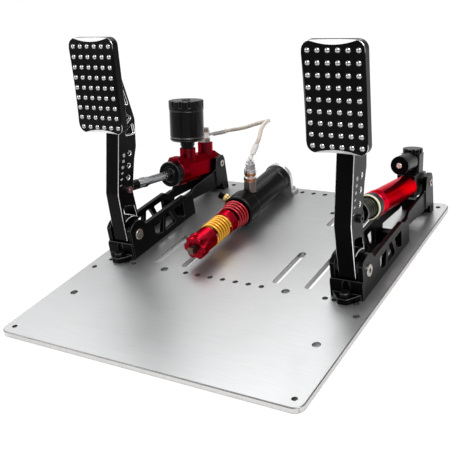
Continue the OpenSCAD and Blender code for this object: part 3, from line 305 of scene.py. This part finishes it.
BLACK = (grey(0.002), grey(0.006))
BRONZE = ((0.09, 0.065, 0.05, 1), (0.24, 0.19, 0.155, 1))
WINE = ((0.12, 0.005, 0.011, 1), (0.20, 0.009, 0.018, 1))
BRASS = ((0.6, 0.42, 0.16, 1), (0.8, 0.6, 0.28, 1))
COPPER = ((0.42, 0.17, 0.07, 1), (0.66, 0.32, 0.16, 1))
RUBY = (1.0, 0.22, 0.26, 1)
ROSE = ((0.60, 0.42, 0.38, 1), (0.85, 0.66, 0.62, 1))
BRIGHT = (grey(0.62), grey(0.85))
FINISH = {
    "plate": plate_finish(),
    # Near-black chamfers on the plate: a painted shadow line along every edge.
    "shadow_line": metal("plate_edge_painted_shadow", grey(0.03), grey(0.07), 0.3),
    "bore": metal("bored_wall", grey(0.34), grey(0.54), 0.26, (1, 1, 0.05)),
    # Outer rim of the plate: lighter than the top face, a painted sheen.
    "rim": metal("plate_rim_painted_sheen", grey(0.54, -0.012), grey(0.72, -0.012), 0.42, (1, 1, 0.05)),
    "black": anodised("black_anodised", *BLACK, 0.36),
    "fitting": anodised("black_fitting", grey(0.0025), grey(0.008), 0.28),
    "pad": anodised("pad_black", grey(0.004), grey(0.009), 0.34),
    # Grey bevels on black parts: a painted highlight along each edge.
    "edge_highlight": metal("grey_edge_painted_highlight", grey(0.10), grey(0.26), 0.32),
    # Bright polished metal: the real finish of the chrome spacers and port nut, and on bevels a painted
    # highlight along each edge.
    "polish_and_highlight": metal("polish_and_painted_highlight", grey(0.70), grey(0.92), 0.2),
    # Near-white scooped pad ends: a painted highlight.
    "scoop": anodised("scooped_end_painted_highlight", grey(0.80), grey(0.94), 0.3, 0.4),
    "stud": metal("stud_chrome", grey(0.32), grey(0.50, 0.005), 0.08),
    "bolt": metal("bolt_steel", (0.36, 0.34, 0.31, 1), (0.60, 0.57, 0.52, 1), 0.26),
    "oxide": anodised("dark_bolt", grey(0.02), grey(0.045), 0.35),
    "rod": metal("rod_chrome", grey(0.40, 0.012), grey(0.62, 0.012), 0.2, (1, 0.05, 1)),
    "red": anodised("red_anodised", (0.60, 0.018, 0.050, 1), (0.80, 0.032, 0.080, 1), 0.22, 1.0, RUBY),
    "knob_red": anodised("knob_red", (0.27, 0.007, 0.016, 1), (0.39, 0.012, 0.026, 1), 0.28, 1.0, RUBY),
    "deep_red": anodised("deep_red", *WINE, 0.27, 1.0, RUBY),
    "rosy": metal("rosy_bolt", (0.34, 0.24, 0.25, 1), (0.56, 0.43, 0.45, 1), 0.26),
    "gold": enamel("gold_wire", (0.84, 0.38, 0.01, 1), (0.96, 0.50, 0.02, 1)),
    "red_wire": enamel("red_wire", (0.46, 0.004, 0.014, 1), (0.62, 0.008, 0.024, 1)),
    "bronzed": two_tone("bronzed_rod", rod_middle, BRONZE, WINE, 0.3),
    # Dark grey bevels on black parts: a faint painted highlight along each edge.
    "dim_edge_highlight": metal("dim_edge_painted_highlight", grey(0.035), grey(0.10), 0.34),
    "dark_wire": metal("dark_wire", (0.035, 0.036, 0.026, 1), (0.085, 0.086, 0.066, 1), 0.34),
    "copper": metal("copper", (0.50, 0.20, 0.09, 1), (0.78, 0.40, 0.22, 1), 0.26),
    "sensor": two_tone("sensor_brass", sensor_tip, BRASS, BLACK),
    "canister": two_tone("canister_black", canister_screw, BLACK, ROSE),
    "stripes": two_tone("port_rings", port_stripes, COPPER, BRIGHT, 0.2),
    "reservoir": moulded("reservoir_plastic", grey(0.001), grey(0.004), 0.24),
    "cream": moulded("cream_ring", (0.66, 0.60, 0.42, 1), (0.80, 0.74, 0.56, 1), 0.35),
    "hose": braid_finish(),
    "bracket": metal("bracket_aluminium", grey(0.50), grey(0.68), 0.34, (1, 0.06, 1)),
    "steel": metal("steel_fitting", (0.26, 0.24, 0.22, 1), (0.48, 0.455, 0.42, 1), 0.28),
    "port_steel": metal("port_steel", (0.17, 0.14, 0.125, 1), (0.34, 0.29, 0.265, 1), 0.28),
    "crimp": metal("crimp_steel", grey(0.72), grey(0.92), 0.5),
    "sleeve": moulded("clear_sleeve", grey(0.62, -0.02), grey(0.82, -0.02), 0.15, 0.6),
    "mark": moulded("laser_mark", grey(0.45), grey(0.66), 0.5),
}

WEARS = {
    "plate": ["base_plate"],
    "black": ["brake_wall_left", "brake_wall_right", "brake_foot_block", "throttle_wall_left",
              "throttle_wall_right", "throttle_foot_block", "tie_blocks", "brake_arm", "throttle_arm",
              "damper_collar"],
    "pad": ["brake_pad", "throttle_pad"],
    "stud": ["brake_pad_studs", "throttle_pad_studs"],
    "bolt": ["pivot_bolts", "bracket_bolts"],
    "oxide": ["foot_bolts", "throttle_linkage_bolt"],
    "rod": ["brake_push_rod", "brake_jam_nut", "damper_rod", "brake_ball", "throttle_ball"],
    "fitting": ["brake_rod_end", "damper_rod_end", "master_cap", "slave_body", "slave_collar",
                "damper_block", "damper_knob", "master_piston"],
    "canister": ["damper_canister"],
    "red": ["damper_tube"],
    "knob_red": ["slave_knob", "slave_seat", "slave_divider"],
    "deep_red": ["master_body"],
    "copper": ["banjo_washers"],
    "stripes": ["slave_port_washers"],
    "bronzed": ["slave_rod"],
    "rosy": ["brake_linkage_bolt"],
    "steel": ["master_adapter", "banjo_bolt", "rear_pins"],
    "port_steel": ["slave_port_hex"],
    "polish_and_highlight": ["pivot_spacers", "slave_port_nut"],
    "crimp": ["brake_banjo"],
    "sleeve": ["hose_sleeve"],
    "sensor": ["pressure_sensor"],
    "reservoir": ["reservoir_neck", "reservoir_body", "reservoir_cap"],
    "cream": ["damper_ring"],
    "bracket": ["slave_bracket"],
    "hose": ["brake_hose"],
    "gold": ["slave_spring_gold"],
    "red_wire": ["slave_spring_red"],
    "dark_wire": ["damper_spring"],
}
for finish, names in WEARS.items():
    for name in names:
        mesh = nodes[name].data
        mesh.materials.clear()
        mesh.materials.append(FINISH[finish])


def put(name, data):
    """An object of this mesh, camera or lamp, linked into the scene."""
    made = bpy.data.objects.new(name, data)
    bpy.context.scene.collection.objects.link(made)
    return made


# CAD pieces whose edges are broken, as a machined part's are

def broken_edges(name, width, edge, pick=None, least=35, more=()):
    """A merged copy of a CAD node. Edges sharper than least degrees are rounded to width metres and take
    the edge finish. pick tells from the faces' normals and middles which keep the node's own finish, 0,
    and which take the edge finish, 1, or one of the finishes in more, from 2 up."""
    source = nodes[name]
    mesh = source.data.copy()
    mesh.name = name + "_finished"
    mesh.transform(source.matrix_world)
    if "custom_normal" in mesh.attributes:
        mesh.attributes.remove(mesh.attributes["custom_normal"])
    work = bmesh.new()
    work.from_mesh(mesh)
    bmesh.ops.remove_doubles(work, verts=work.verts, dist=2e-6)
    bmesh.ops.dissolve_limit(work, angle_limit=math.radians(0.4), verts=work.verts, edges=work.edges)
    work.to_mesh(mesh)
    work.free()
    count = len(mesh.polygons)
    mesh.polygons.foreach_set("use_smooth", np.ones(count, bool))
    for finish in (edge, *more):
        mesh.materials.append(FINISH[finish])
    if pick:
        normals, middles = np.empty(count * 3), np.empty(count * 3)
        mesh.polygons.foreach_get("normal", normals)
        mesh.polygons.foreach_get("center", middles)
        picked = pick(normals.reshape(-1, 3), middles.reshape(-1, 3))
        mesh.polygons.foreach_set("material_index", picked.astype(np.int32))
    mesh.set_sharp_from_angle(angle=math.radians(30))
    made = put(name + "_finished", mesh)
    bevel = made.modifiers.new("edges", "BEVEL")
    bevel.width, bevel.segments = width, 2
    bevel.limit_method, bevel.angle_limit = "ANGLE", math.radians(least)
    bevel.use_clamp_overlap = False
    bevel.material = 1
    smooth = made.modifiers.new("normals", "WEIGHTED_NORMAL")
    smooth.keep_sharp = True
    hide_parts(name)
    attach(made, BODY[name])


def scoops(normals, middles):
    """2 on the scooped ends of a pad: faces that lean from its front towards its top or bottom, painted
    near white as a highlight.
    """
    front = normals @ np.array([0.0, -0.993, 0.118])
    tall = np.abs(normals @ np.array([0.0, 0.118, 0.993]))
    return 2 * ((front > 0.25) & (front < 0.95) & (tall > 0.4))


def plate_walls(normals, middles):
    """2 on the walls of the plate's holes and slots, and 3 on its outer rim, which is painted lighter
    than the top face as a painted sheen.
    """
    inside = (np.abs(middles[:, 0]) < 0.214) & (np.abs(middles[:, 1]) < 0.248)
    return (np.abs(normals[:, 2]) < 0.5) * np.where(inside, 2, 3)


def leant(points, lean):
    """Places (y, z) in millimetres on an arm, turned back with it by lean degrees about its pivot."""
    turn = math.radians(lean)
    off = np.asarray(points, float) - PIVOT
    return PIVOT + off @ np.array([[math.cos(turn), -math.sin(turn)], [math.sin(turn), math.cos(turn)]])


def painted_see_through_walls(lean):
    """Picks the walls of an arm's adjustment holes, which take the bright edge finish: a painted
    highlight standing in for the white background seen through the holes.
    """
    centres = leant(ARM_HOLES, lean)

    def pick(normals, middles):
        place = middles[:, 1:] / MM + np.array([PLATE_MIDDLE, -PLATE_T])
        near = np.linalg.norm(place[:, None] - centres, axis=2).min(1) < 3.6
        return near & (np.abs(normals[:, 0]) < 0.3)
    return pick


# The arms' bevels are bright polished metal: a painted highlight along every edge.
broken_edges("brake_arm", 0.00075, "polish_and_highlight", painted_see_through_walls(0))
broken_edges("throttle_arm", 0.00075, "polish_and_highlight", painted_see_through_walls(THROTTLE_LEAN))
# Pad bevels and scooped ends are painted bright: painted highlights along the pad's outline.
for name in ("brake_pad", "throttle_pad"):
    broken_edges(name, 0.0004, "polish_and_highlight", scoops, 50, ("scoop",))
# Walls, blocks, knob, caps and collars get dark grey bevels: faint painted highlight lines.
for name in ("brake_wall_left", "brake_wall_right", "throttle_wall_left", "throttle_wall_right",
             "brake_foot_block", "throttle_foot_block", "damper_block", "damper_knob", "master_cap",
             "slave_body", "slave_collar", "damper_collar", "reservoir_cap"):
    broken_edges(name, 0.0004, "dim_edge_highlight")
# Grey bevels on the reservoir and rod ends: painted highlight lines.
for name in ("reservoir_body", "brake_rod_end", "damper_rod_end"):
    broken_edges(name, 0.0004, "edge_highlight")
# The plate's chamfers are painted near black, a painted shadow line along each edge.
broken_edges("base_plate", 0.0003, "shadow_line", plate_walls, 35, ("bore", "rim"))
broken_edges("master_body", 0.0005, "deep_red")
broken_edges("slave_knob", 0.0004, "knob_red")
broken_edges("slave_bracket", 0.0005, "bracket")
# Bright bevels on the port hex and adapter: painted highlight lines along their edges.
broken_edges("slave_port_hex", 0.0003, "polish_and_highlight")
broken_edges("master_adapter", 0.0003, "polish_and_highlight")


# New surfaces

def outward(mesh):
    """Turns every face of a closed mesh outward."""
    work = bmesh.new()
    work.from_mesh(mesh)
    bmesh.ops.recalc_face_normals(work, faces=work.faces)
    work.to_mesh(mesh)
    work.free()


def skin(name, rings, finish, body):
    """A closed surface through rings[i, k]: ring i joins ring i + 1, point k joins k + 1 round the ring
    and both ends are shut. UV runs by length and by share of a turn."""
    count, sides = rings.shape[:2]
    i, k = np.meshgrid(np.arange(count - 1), np.arange(sides), indexing="ij")
    m, j = i + 1, (k + 1) % sides
    quads = np.stack([i * sides + k, m * sides + k, m * sides + j, i * sides + j], -1).reshape(-1, 4)
    ends = [list(range(sides)), list(range(count * sides - 1, (count - 1) * sides - 1, -1))]
    mesh = bpy.data.meshes.new(name)
    mesh.from_pydata(rings.reshape(-1, 3).tolist(), [], quads.tolist() + ends)
    middle = rings.mean(1)
    length = np.concatenate([[0], np.cumsum(np.linalg.norm(np.diff(middle, axis=0), axis=1))])
    uv = np.zeros((len(mesh.loops), 2))
    uv[:quads.size, 0] = length[np.stack([i, m, m, i], -1)].ravel()
    uv[:quads.size, 1] = np.stack([k, k, k + 1, k + 1], -1).ravel() / sides
    mesh.uv_layers.new(name="UVMap").data.foreach_set("uv", uv.ravel())
    outward(mesh)
    mesh.polygons.foreach_set("use_smooth", np.ones(len(mesh.polygons), bool))
    mesh.set_sharp_from_angle(angle=math.radians(40))
    mesh.materials.append(FINISH[finish])
    made = put(name, mesh)
    if body:
        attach(made, body)
    return made


def unit(v):
    """Each vector at length 1."""
    return v / np.linalg.norm(v, axis=-1, keepdims=True)


def tube_rings(line, radius, side, sides):
    """Round tube: at each point of line, a circle square to the line's own direction."""
    ahead = unit(np.gradient(line, axis=0))
    u = unit(np.cross(ahead, side))
    v = np.cross(ahead, u)
    a = np.linspace(0, 2 * math.pi, sides, endpoint=False)[:, None]
    return line[:, None] + radius * (u[:, None] * np.cos(a) + v[:, None] * np.sin(a))


def coil_rings(place, first_r, last_r, wire, tall, turns):
    """Round wire on a helix: the mean radius goes evenly from first_r to last_r and the height from
    half a wire to tall less half a wire. place puts its x, y and height in the object."""
    share = np.linspace(0, 1, int(turns * 40))
    a = share * turns * 2 * math.pi
    r = first_r + (last_r - first_r) * share
    line = np.stack([r * np.cos(a), r * np.sin(a), wire / 2 + (tall - wire) * share], -1)
    out = np.stack([np.cos(a), np.sin(a), 0 * a], -1)
    v = unit(np.cross(np.gradient(line, axis=0), out))
    t = np.linspace(0, 2 * math.pi, 16, endpoint=False)[:, None]
    rings = line[:, None] + wire / 2 * (out[:, None] * np.cos(t) + v[:, None] * np.sin(t))
    return place(rings[..., 0], rings[..., 1], rings[..., 2])


def on_load(front):
    """Heights along the load cylinder's axis, rearward from front."""
    return lambda x, y, h: spot(LOAD_X + x, front + h, LOAD_Z - y)


# The damper's tube turned about its axis: places along it from the rear pin, and radii
TUBE = np.array([(42, 0), (42, 15.4), (42.6, 16), (149.6, 16), (150, 16.3), (150.3, 17), (157.2, 17),
                 (157.5, 16.3), (158.5, 16.3), (158.8, 17), (165.3, 17), (166, 16.4), (166, 0)], float)
radius = np.maximum(TUBE[:, 1:], 0.05)
angle = np.linspace(0, 2 * math.pi, 96, endpoint=False)
tube = skin("red_tube", on_damper(radius * np.cos(angle), radius * np.sin(angle), TUBE[:, :1]),
            "red", "damper")
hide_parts("damper_tube")

gold = skin("gold_spring", coil_rings(on_load(261.3), 15.4, 15.4, wire=3.2, tall=38.4, turns=6),
            "gold", "load_divider")
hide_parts("slave_spring_gold")
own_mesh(gold)

red = skin("red_spring", coil_rings(on_load(316.3), 16.4, 20.1, wire=2.8, tall=27.4, turns=4.5),
           "red_wire", "base")
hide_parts("slave_spring_red")
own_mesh(red)

dark = skin("damper_coil",
            coil_rings(lambda x, y, h: on_damper(x, y, 170.3 + h), 11.9, 11.9,
                       wire=2.2, tall=38.4, turns=6),
            "dark_wire", "damper")
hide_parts("damper_spring")
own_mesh(dark)


def hose_line(steps):
    """The hose's middle: a smooth curve through its route from the banjo's tail to the sleeve."""
    tail, top = np.array([-139.5, 470.986, 104.021]), np.array([-36, 392, 118.5])
    out, into = np.array([0.9705, 0.17433, 0.16652]), np.array([0.28829, 0.49788, 0.81795])
    points = np.vstack([
        [tail + d * out for d in (0.01, 6.2, 12.4)],
        [[-103.5, 470.5, 112], [-76.5, 467, 121.5], [-53.5, 457, 130], [-42, 445, 136],
         [-37.5, 429, 139.5], [-36, 413, 136.5]],
        [top + d * into for d in (9.3, 6.2, 0.01)],
    ])
    around = np.vstack([points[:1], points, points[-1:]])
    t = (np.arange(steps) / steps)[:, None]
    parts = [0.5 * (2 * b + (c - a) * t + (2 * a - 5 * b + 4 * c - d) * t ** 2
                    + (3 * b - a - 3 * c + d) * t ** 3)
             for a, b, c, d in zip(around, around[1:], around[2:], around[3:])]
    line = np.vstack(parts + [points[-1:]])
    return spot(line[:, 0], line[:, 1], line[:, 2])


hose = skin("braided_hose", tube_rings(hose_line(10), 3.1 * MM, np.array([0.3, 0.75, -0.6]), 24),
            "hose", None)
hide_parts("brake_hose")
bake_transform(hose)


# Rows of setting marks beside the arm's holes, fewer from the top down

MARK_ROWS = [(246.3, 148.5, 4), (242.6, 141.0, 3), (238.6, 133.4, 3), (235.1, 125.7, 2),
             (231.3, 118.0, 2), (227.3, 110.3, 1)]


def arm_marks(name, arm, lean):
    """Thin bars on the arm's right face, in rows of four down to one: each bar is a box 4.8 by 0.8 mm
    that stands 0.04 mm proud, 1.25 mm from the next. The arm leans about its pivot by lean degrees."""
    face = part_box(arm)[1][0]
    middles = np.array([(y, z + (n - (bars - 1) / 2) * 1.25)
                        for y, z, bars in MARK_ROWS for n in range(bars)])
    corner = np.array([(y, z) for y in (-2.4, 2.4) for z in (-0.4, 0.4)])
    flat = leant(middles[:, None] + corner, lean)
    layers = [spot(x, flat[..., 0], flat[..., 1]) for x in (face / MM - 0.1, face / MM + 0.04)]
    points = np.concatenate(layers, 1).reshape(-1, 3)
    box = np.array([(0, 1, 3, 2), (4, 6, 7, 5), (0, 4, 5, 1), (2, 3, 7, 6), (0, 2, 6, 4), (1, 5, 7, 3)])
    faces = (box[None] + 8 * np.arange(len(middles))[:, None, None]).reshape(-1, 4)
    mesh = bpy.data.meshes.new(name)
    mesh.from_pydata(points.tolist(), [], faces.tolist())
    outward(mesh)
    mesh.materials.append(FINISH["mark"])
    made = put(name, mesh)
    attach(made, BODY[arm])


arm_marks("brake_marks", "brake_arm", 0)
arm_marks("throttle_marks", "throttle_arm", THROTTLE_LEAN)


# Camera, lamps, floor and background

def camera():
    """The photograph's camera: 63 mm lens on a 36 mm frame, above the front right corner."""
    data = bpy.data.cameras.new("camera")
    data.lens, data.sensor_width = 63.147, 36.0
    data.clip_start, data.clip_end = 0.05, 30
    made = put("camera", data)
    right = Vector((0.84846747, 0.51140368, -0.13626897))
    up = Vector((-0.11923481, 0.43556492, 0.89222545))
    back = Vector((0.51564136, -0.74077627, 0.43053979))
    turn = Matrix((right, up, back)).transposed()
    made.matrix_world = Matrix.Translation((0.5431, -0.8001, 0.5285)) @ turn.to_4x4()
    bpy.context.scene.camera = made


def lamp(name, place, aim, wide, tall, power):
    """A rectangular lamp at place that faces aim."""
    data = bpy.data.lights.new(name, "AREA")
    data.shape, data.size, data.size_y, data.energy = "RECTANGLE", wide, tall, power
    made = put(name, data)
    made.location = place
    made.rotation_euler = (Vector(aim) - Vector(place)).to_track_quat("-Z", "Y").to_euler()


def surroundings():
    """White behind the object for the camera, part white for mirrors, soft grey light for the rest."""
    world = bpy.data.worlds.new("studio")
    bpy.context.scene.world = world
    world.use_nodes = True
    tree = world.node_tree
    tree.nodes.clear()
    out = tree.nodes.new("ShaderNodeOutputWorld")
    soft, white = tree.nodes.new("ShaderNodeBackground"), tree.nodes.new("ShaderNodeBackground")
    soft.inputs["Strength"].default_value = 0.45
    white.inputs["Color"].default_value = (1, 1, 1, 1)
    ray, mix = tree.nodes.new("ShaderNodeLightPath"), tree.nodes.new("ShaderNodeMixShader")
    either = tree.nodes.new("ShaderNodeMath")
    either.operation = "MAXIMUM"
    tree.links.new(ray.outputs["Is Camera Ray"], either.inputs[0])
    tree.links.new(ray.outputs["Is Transmission Ray"], either.inputs[1])
    mirror, most = tree.nodes.new("ShaderNodeMath"), tree.nodes.new("ShaderNodeMath")
    mirror.operation, most.operation = "MULTIPLY", "MAXIMUM"
    mirror.inputs[1].default_value = 0.3
    tree.links.new(ray.outputs["Is Glossy Ray"], mirror.inputs[0])
    tree.links.new(either.outputs[0], most.inputs[0])
    tree.links.new(mirror.outputs[0], most.inputs[1])
    tree.links.new(most.outputs[0], mix.inputs[0])
    tree.links.new(soft.outputs[0], mix.inputs[1])
    tree.links.new(white.outputs[0], mix.inputs[2])
    tree.links.new(mix.outputs[0], out.inputs["Surface"])


def floor():
    """A white table that keeps a faint shadow: mostly its own white for the camera, the rest lit."""
    corners = np.array([[-6, -6, 0], [6, -6, 0], [6, 6, 0], [-6, 6, 0]], float)
    mesh = bpy.data.meshes.new("floor")
    mesh.from_pydata(corners.tolist(), [], [(0, 1, 2, 3)])
    made = put("floor", mesh)
    material = bpy.data.materials.new("floor")
    material.use_nodes = True
    tree = material.node_tree
    tree.nodes.clear()
    out, mix = tree.nodes.new("ShaderNodeOutputMaterial"), tree.nodes.new("ShaderNodeMixShader")
    lit, glow = tree.nodes.new("ShaderNodeBsdfDiffuse"), tree.nodes.new("ShaderNodeEmission")
    lit.inputs["Color"].default_value = (0.85, 0.85, 0.85, 1)
    glow.inputs["Strength"].default_value = 1.04
    ray, share = tree.nodes.new("ShaderNodeLightPath"), tree.nodes.new("ShaderNodeMath")
    share.operation = "MULTIPLY"
    share.inputs[1].default_value = 0.95
    tree.links.new(ray.outputs["Is Camera Ray"], share.inputs[0])
    tree.links.new(share.outputs[0], mix.inputs[0])
    tree.links.new(lit.outputs[0], mix.inputs[1])
    tree.links.new(glow.outputs[0], mix.inputs[2])
    tree.links.new(mix.outputs[0], out.inputs["Surface"])
    mesh.materials.append(material)


camera()
surroundings()
floor()
lamp("key", (0.9, -0.6, 1.5), (0, 0, 0.05), 1.2, 0.9, 26)
lamp("fill", (-1.2, -0.8, 1.0), (0, 0, 0.1), 1.0, 1.0, 10)
lamp("back", (-1.0, 1.1, 1.72), (0, -0.1, 0), 1.9, 0.8, 21)
lamp("side", (-1.64, 0.78, 0.98), (-0.2, -0.2, 0), 0.7, 0.6, 1.6)
lamp("strip", (-0.05, 1.25, 1.0), (0.17, 0.1, 0.08), 0.4, 0.8, 3.0)

bpy.context.scene.view_settings.view_transform = "Standard"
